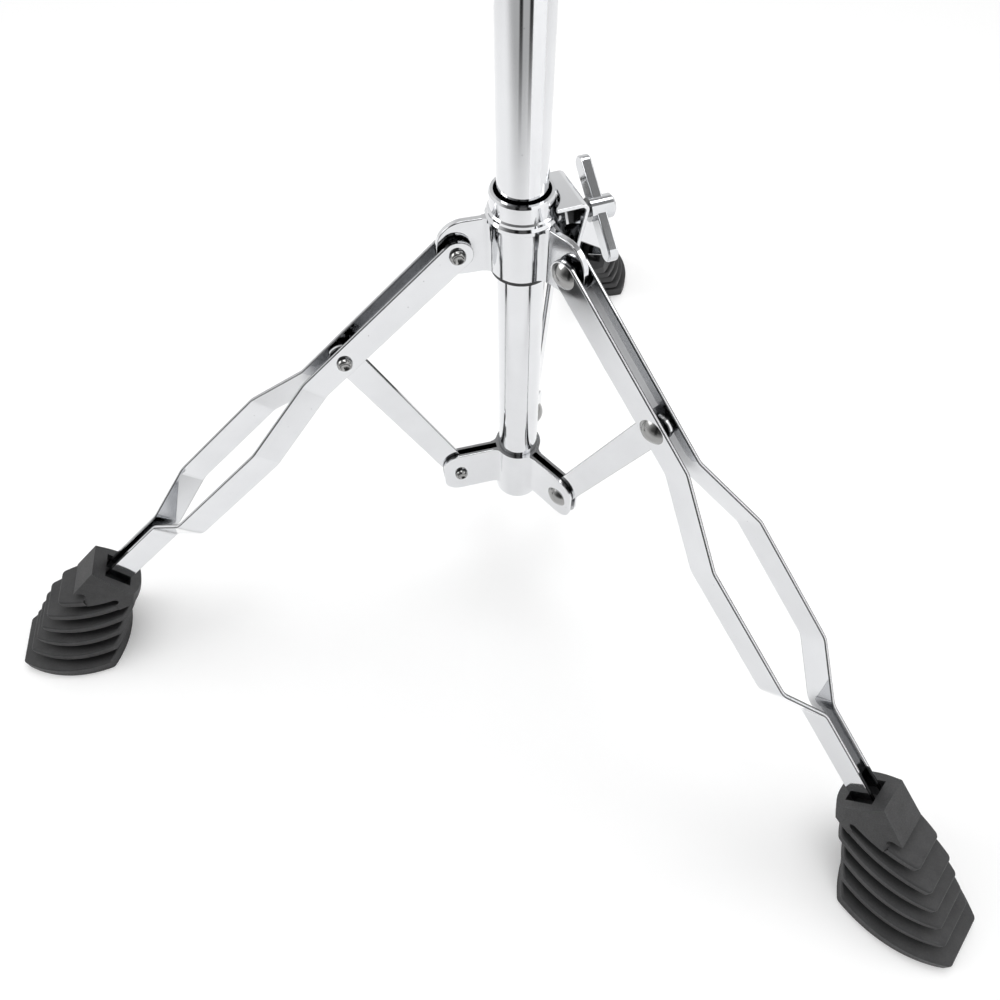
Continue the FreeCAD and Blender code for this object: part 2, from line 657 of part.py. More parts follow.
def tube_clamp():
    """Split clamp on the base tube's top, with two ears drawn together by a wing bolt."""
    ear_half = CLAMP_SLIT / 2 + CLAMP_EAR_T
    low, high = CLAMP_BOTTOM + CLAMP_EAR_INSET, CLAMP_TOP - CLAMP_EAR_INSET
    ears = rounded_plate(TUBE_R, CLAMP_EAR_REACH, low, high, CLAMP_EAR_CORNER_R, -ear_half, ear_half)
    profile = [
        (CLAMP_BOTTOM, 0),
        (CLAMP_BOTTOM, CLAMP_R - CLAMP_CHAMFER),
        (CLAMP_BOTTOM + CLAMP_CHAMFER, CLAMP_R),
        (CLAMP_TOP - CLAMP_CHAMFER, CLAMP_R),
        (CLAMP_TOP, CLAMP_R - CLAMP_CHAMFER),
        (CLAMP_TOP, 0),
    ]
    body = joined([revolved(profile, ORIGIN, Z_AXIS, X_AXIS), ears])
    middle = (CLAMP_BOTTOM + CLAMP_TOP) / 2
    cuts = [
        upright(TUBE_R, CLAMP_BOTTOM - 1, TUBE_TOP),
        upright(TUBE_R - TUBE_WALL, TUBE_TOP - 1, CLAMP_TOP + 1),
        box(0, CLAMP_EAR_REACH + 1, -CLAMP_SLIT / 2, CLAMP_SLIT / 2, CLAMP_BOTTOM - 1, CLAMP_TOP + 1),
        cross_bar(SCREW_R + RIVET_FIT, CLAMP_BOLT_X, middle, -2 * ear_half, 2 * ear_half),
    ]
    return turned(body.cut(cuts), CLAMP_AZIMUTH)


def clamp_bolt():
    """Wing bolt through the clamp's ears."""
    ear_half = CLAMP_SLIT / 2 + CLAMP_EAR_T
    base = Vector(CLAMP_BOLT_X, 0, (CLAMP_BOTTOM + CLAMP_TOP) / 2)
    end = ear_half + CLAMP_BARREL
    profile = [
        (-ear_half - CLAMP_BOLT_TAIL, 0),
        (-ear_half - CLAMP_BOLT_TAIL, SCREW_R),
        (ear_half, SCREW_R),
        (ear_half, SCREW_BARREL_R),
        (end - BARREL_CHAMFER, SCREW_BARREL_R),
        (end, SCREW_BARREL_R - BARREL_CHAMFER),
        (end, 0),
    ]
    blade = wings(base, Y_AXIS, X_AXIS, end - WING_T - CLAMP_WING_INSET)
    return turned(joined([revolved(profile, base, Y_AXIS, X_AXIS), blade]), CLAMP_AZIMUTH)


def clamp_nut():
    """Hexagon nut on the far side of the clamp's ears."""
    ear_half = CLAMP_SLIT / 2 + CLAMP_EAR_T
    z = (CLAMP_BOTTOM + CLAMP_TOP) / 2
    outside = Vector(CLAMP_BOLT_X, -ear_half - CLAMP_NUT_T, z)
    nut = hexagon(CLAMP_NUT_ACROSS, outside, Vector(CLAMP_BOLT_X, -ear_half, z))
    hole = cross_bar(SCREW_R + RIVET_FIT, CLAMP_BOLT_X, z, -2 * ear_half, 0)
    return turned(nut.cut(hole), CLAMP_AZIMUTH)


def clamp_bushing():
    """Plastic sleeve between the base tube and the post."""
    return sleeve(TUBE_R - TUBE_WALL, POST_R + POST_FIT, BUSH_BOTTOM, BUSH_TOP)


def post_guide():
    """Plastic ring on the post's lower end that runs in the base tube."""
    inner = TUBE_R - TUBE_WALL - POST_FIT
    return sleeve(inner, POST_R, POST_BOTTOM, POST_BOTTOM + GUIDE_LENGTH)


def tilter_base():
    """Socket on the post with a half-width disc, one side of the tilting joint."""
    top = TILTER_Z - TILTER_DISC_R - TILTER_CLEAR
    y0, y1 = -TILTER_GAP - TILTER_DISC_T, -TILTER_GAP
    socket = upright(POST_R + TILTER_SOCKET_WALL, TILTER_SOCKET_BOTTOM, top)
    neck = box(-TILTER_NECK_HALF, TILTER_NECK_HALF, y0, y1, top - TILTER_NECK_ROOT, TILTER_Z)
    disc = cross_bar(TILTER_DISC_R, 0, TILTER_Z, y0, y1)
    hole = cross_bar(SCREW_R + RIVET_FIT, 0, TILTER_Z, 2 * y0, 1)
    return joined([socket, neck, disc]).cut([upright(POST_R, TILTER_SOCKET_BOTTOM - 1, POST_TOP), hole])


def tilter_head():
    """The joint's other disc, with a socket above it for the basket's stem."""
    bottom = TILTER_Z + TILTER_DISC_R + TILTER_CLEAR
    y0, y1 = TILTER_GAP, TILTER_GAP + TILTER_DISC_T
    socket = upright(STEM_R + HEAD_SOCKET_WALL, bottom, NUT_BOTTOM - 1)
    neck = box(-HEAD_NECK_HALF, HEAD_NECK_HALF, y0, y1, TILTER_Z, bottom + TILTER_NECK_ROOT)
    disc = cross_bar(TILTER_DISC_R, 0, TILTER_Z, y0, y1)
    hole = cross_bar(SCREW_R + RIVET_FIT, 0, TILTER_Z, -1, 2 * y1)
    return joined([socket, neck, disc]).cut([upright(STEM_R, STEM_BOTTOM, NUT_BOTTOM), hole])


def tilter_bolt():
    """Bolt through both discs, with a round head."""
    reach = TILTER_GAP + TILTER_DISC_T
    profile = [
        (-reach - BOLT_HEAD_H, 0),
        (-reach - BOLT_HEAD_H, BOLT_HEAD_R - BARREL_CHAMFER),
        (-reach - BOLT_HEAD_H + BARREL_CHAMFER, BOLT_HEAD_R),
        (-reach, BOLT_HEAD_R),
        (-reach, SCREW_R),
        (reach + BOLT_TAIL, SCREW_R),
        (reach + BOLT_TAIL, 0),
    ]
    return revolved(profile, Vector(0, 0, TILTER_Z), Y_AXIS, X_AXIS)


def tilter_wing_nut():
    """Wing nut that clamps the two discs together."""
    base = Vector(0, 0, TILTER_Z)
    start = TILTER_GAP + TILTER_DISC_T
    end = start + WING_NUT_LENGTH
    inner = SCREW_R + RIVET_FIT
    profile = [
        (start, inner),
        (start, SCREW_BARREL_R + WING_NUT_RIM),
        (start + WING_NUT_RIM_H, SCREW_BARREL_R + WING_NUT_RIM),
        (start + WING_NUT_RIM_H + WING_NUT_RIM, SCREW_BARREL_R),
        (end, SCREW_BARREL_R),
        (end, inner),
    ]
    hole = cross_bar(inner, 0, TILTER_Z, start - 1, end + 1)
    barrel = revolved(profile, base, Y_AXIS, X_AXIS)
    return joined([barrel, wings(base, Y_AXIS, X_AXIS, start + WING_NUT_BLADE)]).cut(hole)


def basket_nut():
    """Hand nut under the basket, with finger flutes round its rim."""
    wheel = sleeve(NUT_R, STEM_R + RIVET_FIT, NUT_BOTTOM, NUT_TOP)
    low = Vector(NUT_FLUTE_PLACE, 0, NUT_BOTTOM - 1)
    high = Vector(NUT_FLUTE_PLACE, 0, NUT_TOP + 1)
    flute = bar(NUT_FLUTE_R, low, high)
    return wheel.cut([turned(flute, i * 360 / NUT_FLUTES) for i in range(NUT_FLUTES)])


def arm_pin():
    """The pin on which an arm folds."""
    return cross_bar(ARM_PIN_R, ARM_PIVOT_R, ARM_PIVOT_Z, -ARM_PIN_HALF, ARM_PIN_HALF)


def basket_hub():
    """Centre casting with three slots for the arms' eyes and a hole for the stem."""
    profile = [
        (BASKET_BOTTOM, 0),
        (BASKET_BOTTOM, BASKET_FOOT_R),
        (BASKET_BOTTOM + BASKET_CONE_H, BASKET_R),
        (BASKET_TOP - BASKET_CHAMFER, BASKET_R),
        (BASKET_TOP, BASKET_R - BASKET_CHAMFER),
        (BASKET_TOP, 0),
    ]
    body = revolved(profile, ORIGIN, Z_AXIS, X_AXIS)
    half = ARM_EYE_T / 2 + ARM_SIDE_ROOM
    inner = ARM_PIVOT_R - ARM_EYE_R - ARM_EYE_ROOM
    slot = box(inner, 2 * BASKET_R, -half, half, BASKET_BOTTOM + BASKET_FLOOR, BASKET_TOP + 1)
    pin = arm_pin()
    cuts = [upright(STEM_R, BASKET_BOTTOM - 1, BASKET_TOP + 1)]
    for azimuth in ARM_AZIMUTHS.values():
        cuts += [turned(slot, azimuth), turned(pin, azimuth)]
    return body.cut(cuts)


def arm_pins():
    """The three pins on which the arms fold."""
    return Part.makeCompound([turned(arm_pin(), azimuth) for azimuth in ARM_AZIMUTHS.values()])


def arm_path():
    """An arm's bend: rising outward from the pivot, then straight up at the tip."""
    rise = math.radians(ARM_RISE)
    corner = Vector(ARM_REACH, 0, ARM_PIVOT_Z + (ARM_REACH - ARM_PIVOT_R) * math.tan(rise))
    start = Vector(ARM_PIVOT_R, 0, ARM_PIVOT_Z)
    into = unit(corner - start)
    return start, into, corner, ARM_PIVOT_Z + ARM_TIP_RISE


def basket_arm():
    """Round bar with a flat eye at its pivot and an upturned tip."""
    start, into, corner, tip_z = arm_path()
    half = ARM_EYE_T / 2
    eye = cross_bar(ARM_EYE_R, start.x, start.z, -half, half)
    tongue = box(0, ARM_TONGUE, -half, half, -ARM_TONGUE_HALF, ARM_TONGUE_HALF)
    tongue.rotate(ORIGIN, Y_AXIS, -ARM_RISE)
    tongue.translate(start)
    reach = ARM_BEND_R * math.tan(into.getAngle(Z_AXIS) / 2)
    first = corner - into * reach
    second = corner + Z_AXIS * reach
    centre = second - X_AXIS * ARM_BEND_R
    middle = centre + unit((first - centre) + (second - centre)) * ARM_BEND_R
    begin = start + into * ARM_ROD_START
    spine = Part.Wire(
        [
            Part.LineSegment(begin, first).toShape(),
            Part.Arc(first, middle, second).toShape(),
            Part.LineSegment(second, Vector(ARM_REACH, 0, tip_z)).toShape(),
        ]
    )
    section = Part.Wire(Part.makeCircle(ARM_ROD_R, begin, into))
    rod = spine.makePipeShell([section], True, False)
    hole = cross_bar(ARM_PIN_R + RIVET_FIT, start.x, start.z, -2 * half, 2 * half)
    return joined([eye, tongue, rod]).cut(hole)


def arm_grip():
    """Rubber sleeve on an arm's tip: closed end, ribs and a rim that holds the drum's hoop."""
    tip_z = ARM_PIVOT_Z + ARM_TIP_RISE
    base = Vector(ARM_REACH, 0, tip_z - GRIP_LENGTH)
    profile = [(0, ARM_ROD_R), (0, GRIP_R)]
    waist = GRIP_R - GRIP_RIB_DEPTH
    for i in range(GRIP_RIBS):
        along = (i + 0.8) * GRIP_RIB_PITCH
        profile.append((along, GRIP_R))
        profile.append((along + 0.3 * GRIP_RIB_PITCH, waist))
        profile.append((along + 0.6 * GRIP_RIB_PITCH, waist))
        profile.append((along + 0.8 * GRIP_RIB_PITCH, GRIP_R))
    rim_start = GRIP_LENGTH - 2 * GRIP_CAP - 1
    profile += [
        (rim_start, GRIP_R),
        (rim_start + GRIP_RIM, GRIP_R + GRIP_RIM),
        (GRIP_LENGTH + GRIP_CAP - GRIP_RIM, GRIP_R + GRIP_RIM),
        (GRIP_LENGTH + GRIP_CAP, GRIP_R),
        (GRIP_LENGTH + GRIP_CAP, 0),
        (GRIP_LENGTH, 0),
        (GRIP_LENGTH, ARM_ROD_R),
    ]
    return revolved(profile, base, Z_AXIS, X_AXIS)


def build():
    """Every node's shape, by name."""
    nodes = {
        "base_tube": sleeve(TUBE_R, TUBE_R - TUBE_WALL, TUBE_BOTTOM, TUBE_TOP),
        "tube_end_plug": tube_plug(),
        "lower_bracket": lower_bracket(),
        "bracket_rivets": bracket_rivets(),
    }
    strips = [leg_strip(-1), leg_strip(1)]
    boot = foot(strips)
    for name, azimuth in LEGS.items():
        nodes[name + "_leg_strip_a"] = turned(strips[0], azimuth)
        nodes[name + "_leg_strip_b"] = turned(strips[1], azimuth)
        nodes[name + "_leg_rivets"] = turned(leg_rivets(), azimuth)
        nodes[name + "_foot"] = turned(boot, azimuth)
        nodes[name + "_spreader"] = turned(spreader(), azimuth)
    collar = hub_collar()
    sheet = lock_sheet(collar)
    nodes["hub_collar"] = collar
    nodes["hub_ring"] = hub_ring()
    nodes["hub_bushing"] = hub_bushing()
    nodes["hub_lock_bracket"] = turned(sheet, LOCK_AZIMUTH)
    nodes["hub_lock_nut"] = turned(lock_nut(sheet), LOCK_AZIMUTH)
    nodes["hub_wing_screw"] = turned(wing_screw(), LOCK_AZIMUTH)
    nodes["tube_clamp"] = tube_clamp()
    nodes["clamp_wing_bolt"] = clamp_bolt()
    nodes["clamp_nut"] = clamp_nut()
    nodes["clamp_bushing"] = clamp_bushing()
    nodes["post_tube"] = sleeve(POST_R, POST_R - POST_WALL, POST_BOTTOM, POST_TOP)
    nodes["post_guide"] = post_guide()
    nodes["tilter_base"] = tilter_base()
    nodes["tilter_head"] = tilter_head()
    nodes["tilter_bolt"] = tilter_bolt()
    nodes["tilter_wing_nut"] = tilter_wing_nut()
    nodes["basket_stem"] = upright(STEM_R, STEM_BOTTOM, STEM_TOP)
    nodes["basket_nut"] = basket_nut()
    nodes["basket_hub"] = basket_hub()
    nodes["arm_pins"] = arm_pins()
    for name, azimuth in ARM_AZIMUTHS.items():
        nodes[name + "_arm"] = turned(basket_arm(), azimuth)
        nodes[name + "_arm_grip"] = turned(arm_grip(), azimuth)
    return nodes


os.makedirs("parts", exist_ok=True)
for node, shape in build().items():
    shape.exportStep("parts/" + node + ".step")
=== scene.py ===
# %% [markdown]
# # A chromed snare drum stand
# The stand is a folding tripod of bent steel strip round a tube. Its solids come from the CAD model, so
# this lesson is about finish: plating, moulded rubber, screw threads, formed rivets, and a white studio
# that gives mirror metal something to reflect. Lengths are metres, so a value in millimetres is times MM.

# %% Load the frame
import json
import math

import bmesh
import bpy
from mathutils import Matrix, Vector


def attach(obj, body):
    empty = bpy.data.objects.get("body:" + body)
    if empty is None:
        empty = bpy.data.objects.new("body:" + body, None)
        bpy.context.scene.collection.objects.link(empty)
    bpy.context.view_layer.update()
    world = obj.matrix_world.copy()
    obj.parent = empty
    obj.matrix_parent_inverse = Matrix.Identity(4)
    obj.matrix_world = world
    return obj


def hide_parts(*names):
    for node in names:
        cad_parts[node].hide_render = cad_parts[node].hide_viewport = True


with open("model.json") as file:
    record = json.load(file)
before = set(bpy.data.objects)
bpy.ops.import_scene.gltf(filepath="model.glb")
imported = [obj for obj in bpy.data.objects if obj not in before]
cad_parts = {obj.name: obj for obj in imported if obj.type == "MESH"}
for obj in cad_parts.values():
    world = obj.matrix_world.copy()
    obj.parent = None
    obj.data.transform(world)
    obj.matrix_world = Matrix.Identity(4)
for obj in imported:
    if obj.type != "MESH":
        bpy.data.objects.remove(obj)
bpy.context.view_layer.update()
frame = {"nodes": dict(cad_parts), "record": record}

MM = 0.001
scene = bpy.context.scene
nodes = frame["nodes"]

# %% [markdown]
# ## Camera
# The photograph was taken close to the stand, from above and a little to its right, and it shows only the
# tripod. The camera's place and its three axes were fitted to the pivots of the two front legs. The frame
# was cropped off centre, and a lens shift moves the picture without turning the camera.

# %% Place the camera
# The place, the lens and the sensor are in millimetres, and the shift is a share of the picture's width.
CAMERA_PLACE = Vector((65.77, -252.15, 478.04)) * MM
CAMERA_RIGHT = Vector((0.96237, 0.27169, 0.00457))
CAMERA_UP = Vector((-0.20334, 0.7089, 0.67536))
CAMERA_LENS = 26.875
CAMERA_SENSOR = 36.0
CAMERA_SHIFT = (-0.012, -0.15)

lens = bpy.data.cameras.new("photo_lens")
lens.lens = CAMERA_LENS
lens.sensor_width = CAMERA_SENSOR
lens.shift_x, lens.shift_y = CAMERA_SHIFT
lens.clip_start = 1 * MM
camera = bpy.data.objects.new("photo_camera", lens)
axes = Matrix((CAMERA_RIGHT, CAMERA_UP, CAMERA_RIGHT.cross(CAMERA_UP))).transposed()
camera.matrix_world = Matrix.Translation(CAMERA_PLACE) @ axes.to_4x4()
scene.collection.objects.link(camera)
scene.camera = camera
print("camera looks along", [round(-part, 3) for part in CAMERA_RIGHT.cross(CAMERA_UP)])

# %% [markdown]
# ## Helpers for node trees
# Paint and plating are quoted as sRGB hex values, but shaders work in linear light, so one function does
# the conversion. A second adds a node, sets it up and links it, which keeps every tree below readable. Two
# more turn a real size into a texture's scale and start a material with its shader in place.


# %% Colour and node helpers
def linear(hex_code):
    """An sRGB hex value as linear red, green, blue and alpha."""
    parts = [int(hex_code[i : i + 2], 16) / 255 for i in (1, 3, 5)]
    return [c / 12.92 if c <= 0.04045 else ((c + 0.055) / 1.055) ** 2.4 for c in parts] + [1.0]


def add(tree, kind, inputs=None, **settings):
    """Adds a node; an input is given a socket to link or a plain value."""
    node = tree.nodes.new(kind)
    for key, value in settings.items():
        setattr(node, key, value)
    for key, value in (inputs or {}).items():
        if isinstance(value, bpy.types.NodeSocket):
            tree.links.new(value, node.inputs[key])
        else:
            node.inputs[key].default_value = value
    return node


def per_mm(size):
    """The texture scale whose features are about this many millimetres across."""
    return 1 / (size * MM)


def start_material(name):
    """An empty material with its tree, its Object coordinates and a linked Principled shader."""
    material = bpy.data.materials.new(name)
    material.use_nodes = True
    tree = material.node_tree
    tree.nodes.clear()
    shader = add(tree, "ShaderNodeBsdfPrincipled")
    add(tree, "ShaderNodeOutputMaterial", {"Surface": shader.outputs[0]})
    place = add(tree, "ShaderNodeTexCoord").outputs["Object"]
    return material, tree, shader, place


print("linear #808080 is", [round(c, 3) for c in linear("#808080")])

# %% [markdown]
# ## Chromed steel
# Decorative chrome is a very thin hard layer over polished nickel, so it is a mirror with a cool cast. The
# eye reads three faint things on it: cloudy haze from handling, the slow ripple of the sheet below, and
# pin-prick specks where the plating is pitted. Nooks that Ambient Occlusion finds are darkened in the
# colour, which is painted shade. One function makes every plated finish, because they differ only in colour,
# haze and ripple.
#
# The leg strips are slit from sheet, and the rounded borders of their narrow sides mirror a dark line. That
# line is painted into the colour as a painted reflection: a Bevel node gives the normal of a rounder border,
# and the line lies where that normal leans part of the way across the strip. Each leg has its own direction
# across, so each has its own copy of the finish.

# %% Find the painted dark reflection on a strip's border
# The lean is 0 on a narrow side and 1 on a broad one. On each side of the line, a span of it says where the
# line starts and where it is whole.
RAYS = 8
EDGE_R = 1.3
EDGE_REFLECTION_STRENGTH = 0.95
EDGE_REFLECTION_INNER = (0.06, 0.2)
EDGE_REFLECTION_OUTER = (0.86, 0.7)


def painted_edge_reflection(tree, across):
    """How much a point belongs to the painted dark reflection on the border between a broad side, facing
    across, and a narrow one.
    """
    soft = add(tree, "ShaderNodeBevel", {"Radius": EDGE_R * MM}, samples=RAYS)
    facing = add(
        tree, "ShaderNodeVectorTransform", {0: soft.outputs[0]},
        vector_type="NORMAL", convert_from="WORLD", convert_to="OBJECT",
    )
    lean = add(tree, "ShaderNodeVectorMath", {0: facing.outputs[0], 1: across}, operation="DOT_PRODUCT")
    lean = add(tree, "ShaderNodeMath", {0: lean.outputs["Value"]}, operation="ABSOLUTE").outputs[0]
    line = EDGE_REFLECTION_STRENGTH
    for start, end in (EDGE_REFLECTION_INNER, EDGE_REFLECTION_OUTER):
        side = add(tree, "ShaderNodeMapRange", {"Value": lean, "From Min": start, "From Max": end})
        line = add(
            tree, "ShaderNodeMath", {0: side.outputs["Result"], 1: line}, operation="MULTIPLY",
        ).outputs[0]
    return line


print("edge line within", EDGE_R, "mm of a border")

# %% Plate a metal
# A span is where a change starts and ends on a value from 0 to 1. Sizes and depths are in millimetres.
CLOUD_MM = 17
HAZE_SPAN = (0.35, 0.7)
PIT_MM = 7.5
PIT_SPAN = (0.02, 0.05)
PIT_STRENGTH = 0.6
PIT = "#6d7074"
NOOK_SHADE_DEPTH = 13
NOOK_SHADE_SPAN = (0.3, 0.72)
NOOK_SHADE_STRENGTH = 0.9
NOOK_SHADE = "#8c8d8f"
EDGE_REFLECTION = "#3a3b3d"


def chrome(name, bright, dull, gloss, haze, ripple_mm, ripple_height, across=None):
    """Plated metal: gloss and haze are the lowest and highest roughness, the ripple is a height in mm."""
    material, tree, shader, place = start_material(name)
    cloud = add(tree, "ShaderNodeTexNoise", {"Vector": place, "Scale": per_mm(CLOUD_MM), "Detail": 3.0})
    pits = add(tree, "ShaderNodeTexVoronoi", {"Vector": place, "Scale": per_mm(PIT_MM)})
    speck = add(
        tree, "ShaderNodeMapRange",
        {
            "Value": pits.outputs["Distance"], "From Min": PIT_SPAN[0], "From Max": PIT_SPAN[1],
            "To Min": PIT_STRENGTH, "To Max": 0.0,
        },
    )
    # Nooks found by Ambient Occlusion get a darker colour: painted shade.
    shade_probe = add(tree, "ShaderNodeAmbientOcclusion", {"Distance": NOOK_SHADE_DEPTH * MM}, samples=RAYS)
    painted_nook_shade = add(
        tree, "ShaderNodeMapRange",
        {
            "Value": shade_probe.outputs["AO"], "From Min": NOOK_SHADE_SPAN[0], "From Max": NOOK_SHADE_SPAN[1],
            "To Min": NOOK_SHADE_STRENGTH, "To Max": 0.0,
        },
    )
    marks = [(cloud.outputs["Fac"], dull), (speck.outputs["Result"], PIT), (painted_nook_shade.outputs["Result"], NOOK_SHADE)]
    # On the leg strips a dark line on the borders is mixed in: a painted reflection.
    if across:
        marks.append((painted_edge_reflection(tree, across), EDGE_REFLECTION))
    # The colour sockets of a Mix node are its seventh and eighth, and its colour output the third.
    paint = linear(bright)
    for amount, colour in marks:
        paint = add(
            tree, "ShaderNodeMix", {"Factor": amount, 6: paint, 7: linear(colour)}, data_type="RGBA",
        ).outputs[2]
    rough = add(
        tree, "ShaderNodeMapRange",
        {
            "Value": cloud.outputs["Fac"], "From Min": HAZE_SPAN[0], "From Max": HAZE_SPAN[1],
            "To Min": gloss, "To Max": haze,
        },
    )
    wave = add(tree, "ShaderNodeTexNoise", {"Vector": place, "Scale": per_mm(ripple_mm), "Detail": 1.0})
    bump = add(
        tree, "ShaderNodeBump",
        {"Height": wave.outputs["Fac"], "Strength": 1.0, "Distance": ripple_height * MM},
    )
    shader.inputs["Metallic"].default_value = 1.0
    tree.links.new(paint, shader.inputs["Base Color"])
    tree.links.new(rough.outputs["Result"], shader.inputs["Roughness"])
    tree.links.new(bump.outputs["Normal"], shader.inputs["Normal"])
    return material


print("haze in clouds of", CLOUD_MM, "mm and pits", PIT_MM, "mm apart")

# %% Make the chrome finishes
# Zinc castings keep a little of their cast skin under the plating. The rivets are given a darker grey, a
# painted reflection of the dark room that their domes mirror. Both mirror less sharply than rolled strip
# does.
ROLLED = {
    "bright": "#e4e5e7", "dull": "#dadbdd", "gloss": 0.05, "haze": 0.10,
    "ripple_mm": 14, "ripple_height": 0.02,
}
LEG_AZIMUTHS = {"left": 210.0, "right": 330.0, "rear": 90.0}
STRIP_CHROME = chrome("chromed_rolled_steel", **ROLLED)
LEG_CHROME = {}
for leg, azimuth in LEG_AZIMUTHS.items():
    turn = math.radians(azimuth)
    across = (-math.sin(turn), math.cos(turn), 0.0)
    LEG_CHROME[leg] = chrome("chromed_slit_strip_" + leg, across=across, **ROLLED)
CAST_CHROME = chrome(
    "chromed_zinc_casting", bright="#d8d9db", dull="#cbcdcf", gloss=0.09, haze=0.16,
    ripple_mm=5, ripple_height=0.02,
)
# The rivets' darker grey is a painted reflection of the dark room in their domes.
RIVET_PAINTED_DARK = chrome(
    "rivet_steel_painted_dark", bright="#a9a9a8", dull="#8f8f8e", gloss=0.10, haze=0.2,
    ripple_mm=3, ripple_height=0.015,
)
print("chrome finishes", STRIP_CHROME.name, CAST_CHROME.name, RIVET_PAINTED_DARK.name, *LEG_CHROME)

# %% [markdown]
# ## Rubber and plastic
# The boots and the grips are moulded black rubber, which fades to a dark grey with a dusty bloom and shows
# the fine spark-eroded grain of its mould. Every moulded finish darkens the grooves that Ambient Occlusion
# finds, which is painted shade. The end plug and the sleeves are black polyamide, smoother and a little
# glossier.
# Both are rough, so colour and bump do more for them than reflections do.

# %% Mould a polymer
BLOOM_MM = 11
BLOOM_SPAN = (0.3, 0.7)
GROOVE_SHADE_DEPTH = 7
GROOVE_SHADE_SPAN = (0.35, 0.95)
GROOVE_SHADE_STRENGTH = 0.9
GROOVE_SHADE = "#1b1b1c"
GRAIN_SPAN = (0.3, 0.7)
GRAIN_STRENGTH = 0.6
POLYMER_IOR = 1.52


def moulded(name, deep, worn, smooth, dry, grain_mm, grain_height):
    """A moulded polymer: bloom in soft patches over a fine grain and painted shade in grooves, sizes and
    heights in mm.
    """
    material, tree, shader, place = start_material(name)
    bloom = add(tree, "ShaderNodeTexNoise", {"Vector": place, "Scale": per_mm(BLOOM_MM), "Detail": 5.0})
    grain = add(tree, "ShaderNodeTexNoise", {"Vector": place, "Scale": per_mm(grain_mm), "Detail": 2.0})
    tone = add(
        tree, "ShaderNodeMapRange",
        {"Value": bloom.outputs["Fac"], "From Min": BLOOM_SPAN[0], "From Max": BLOOM_SPAN[1]},
    )
    # Grooves found by Ambient Occlusion get a darker colour: painted shade.
    shade_probe = add(tree, "ShaderNodeAmbientOcclusion", {"Distance": GROOVE_SHADE_DEPTH * MM}, samples=RAYS)
    painted_groove_shade = add(
        tree, "ShaderNodeMapRange",
        {
            "Value": shade_probe.outputs["AO"], "From Min": GROOVE_SHADE_SPAN[0], "From Max": GROOVE_SHADE_SPAN[1],
            "To Min": GROOVE_SHADE_STRENGTH, "To Max": 0.0,
        },
    )
    paint = linear(deep)
    for amount, colour in ((tone, worn), (painted_groove_shade, GROOVE_SHADE)):
        paint = add(
            tree, "ShaderNodeMix",
            {"Factor": amount.outputs["Result"], 6: paint, 7: linear(colour)}, data_type="RGBA",
        ).outputs[2]
    rough = add(
        tree, "ShaderNodeMapRange",
        {
            "Value": grain.outputs["Fac"], "From Min": GRAIN_SPAN[0], "From Max": GRAIN_SPAN[1],
            "To Min": smooth, "To Max": dry,
        },
    )
    bump = add(
        tree, "ShaderNodeBump",
        {"Height": grain.outputs["Fac"], "Strength": GRAIN_STRENGTH, "Distance": grain_height * MM},
    )
    shader.inputs["IOR"].default_value = POLYMER_IOR
    tree.links.new(paint, shader.inputs["Base Color"])
    tree.links.new(rough.outputs["Result"], shader.inputs["Roughness"])
    tree.links.new(bump.outputs["Normal"], shader.inputs["Normal"])
    return material


print("bloom in patches of", BLOOM_MM, "mm")

# %% Make the moulded finishes
# The mould's real grain is nearer 0.2 mm, drawn here at 0.5 mm and more so that it shows at the photograph's
# scale.
BOOT_RUBBER = moulded(
    "moulded_black_rubber", deep="#2b2b2c", worn="#383839", smooth=0.55, dry=0.72,
    grain_mm=0.7, grain_height=0.05,
)
SLEEVE_PLASTIC = moulded(
    "black_polyamide", deep="#1d1d1f", worn="#27272a", smooth=0.38, dry=0.5,
    grain_mm=0.5, grain_height=0.02,
)
print("moulded finishes", BOOT_RUBBER.name, SLEEVE_PLASTIC.name)

# %% [markdown]
# ## Finish the CAD nodes
# Every node keeps its own mesh and only changes its material. The record's slots already say which pieces
# are metal, rubber or plastic. Castings and rivets are metal too, but their plating is less flat than that
# on rolled strip, so they take their own finish by name. The rivets' finish is painted darker as a painted
# reflection. The strips of each leg take their own finish too, with a painted dark reflection on their
# borders.

# %% Assign a finish to every node
SLOT_FINISH = {
    "chromed_steel": STRIP_CHROME,
    "black_rubber": BOOT_RUBBER,
    "black_plastic": SLEEVE_PLASTIC,
}
CASTINGS = ("hub_wing_screw", "clamp_wing_bolt", "tube_clamp", "basket_hub", "basket_nut", "clamp_nut")
for row in frame["record"]["subparts"]:
    name = row["node"]
    finish = SLOT_FINISH[row["material_slot"]]
    if name in CASTINGS or name.startswith("tilter_"):
        finish = CAST_CHROME
    if "_leg_strip_" in name or name.endswith("_spreader"):
        finish = LEG_CHROME[name.split("_")[0]]
    if "rivets" in name:
        finish = RIVET_PAINTED_DARK
    nodes[name].data.materials.clear()
    nodes[name].data.materials.append(finish)

# %% [markdown]
# ## Rolled threads
# Wherever a screw shows its shank, the real one has a rolled thread: a ridge that follows a helix. Geometry
# Nodes suit it well, because one small tree with a few named sizes serves every screw. A spiral curve is
# swept with a four-sided profile whose inner half is buried in the shank, so only a sharp ridge stands out.

